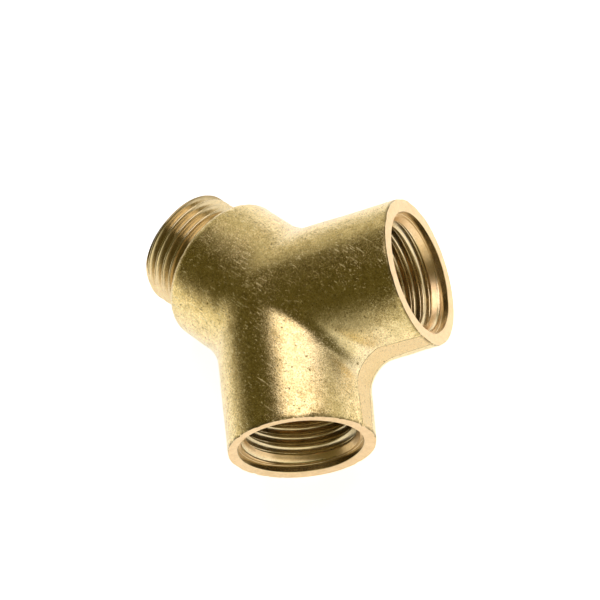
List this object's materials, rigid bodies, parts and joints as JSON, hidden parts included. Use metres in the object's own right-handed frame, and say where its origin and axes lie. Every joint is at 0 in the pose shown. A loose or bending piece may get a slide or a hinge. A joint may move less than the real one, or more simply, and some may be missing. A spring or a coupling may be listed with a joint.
{
  "type": "y pipe fitting",
  "caption": "Forged brass Y fitting for water pipe, with one male threaded inlet, two female threaded outlets and a flat seal inside each outlet.",
  "frame": {"origin": "centre of the flat shoulder that the male inlet thread ends at", "axes": "-X points out of the male inlet; the two outlets open towards +X in the XY plane, 45 degrees either side of it, left towards +Y and right towards -Y; +Z is normal to the plane of the three limbs, which is the forging's parting plane"},
  "size_m": [0.0547, 0.0552, 0.0274],
  "materials": {
    "forged_brass": "blasted forging skin on the limbs, turned bright metal on the threads and end faces",
    "seal_rubber": "matt moulded rubber"
  },
  "bodies": {
    "root": {"forged_body": "forged_brass", "outlet_seal_left": "seal_rubber", "outlet_seal_right": "seal_rubber"}
  },
  "joints": []
}
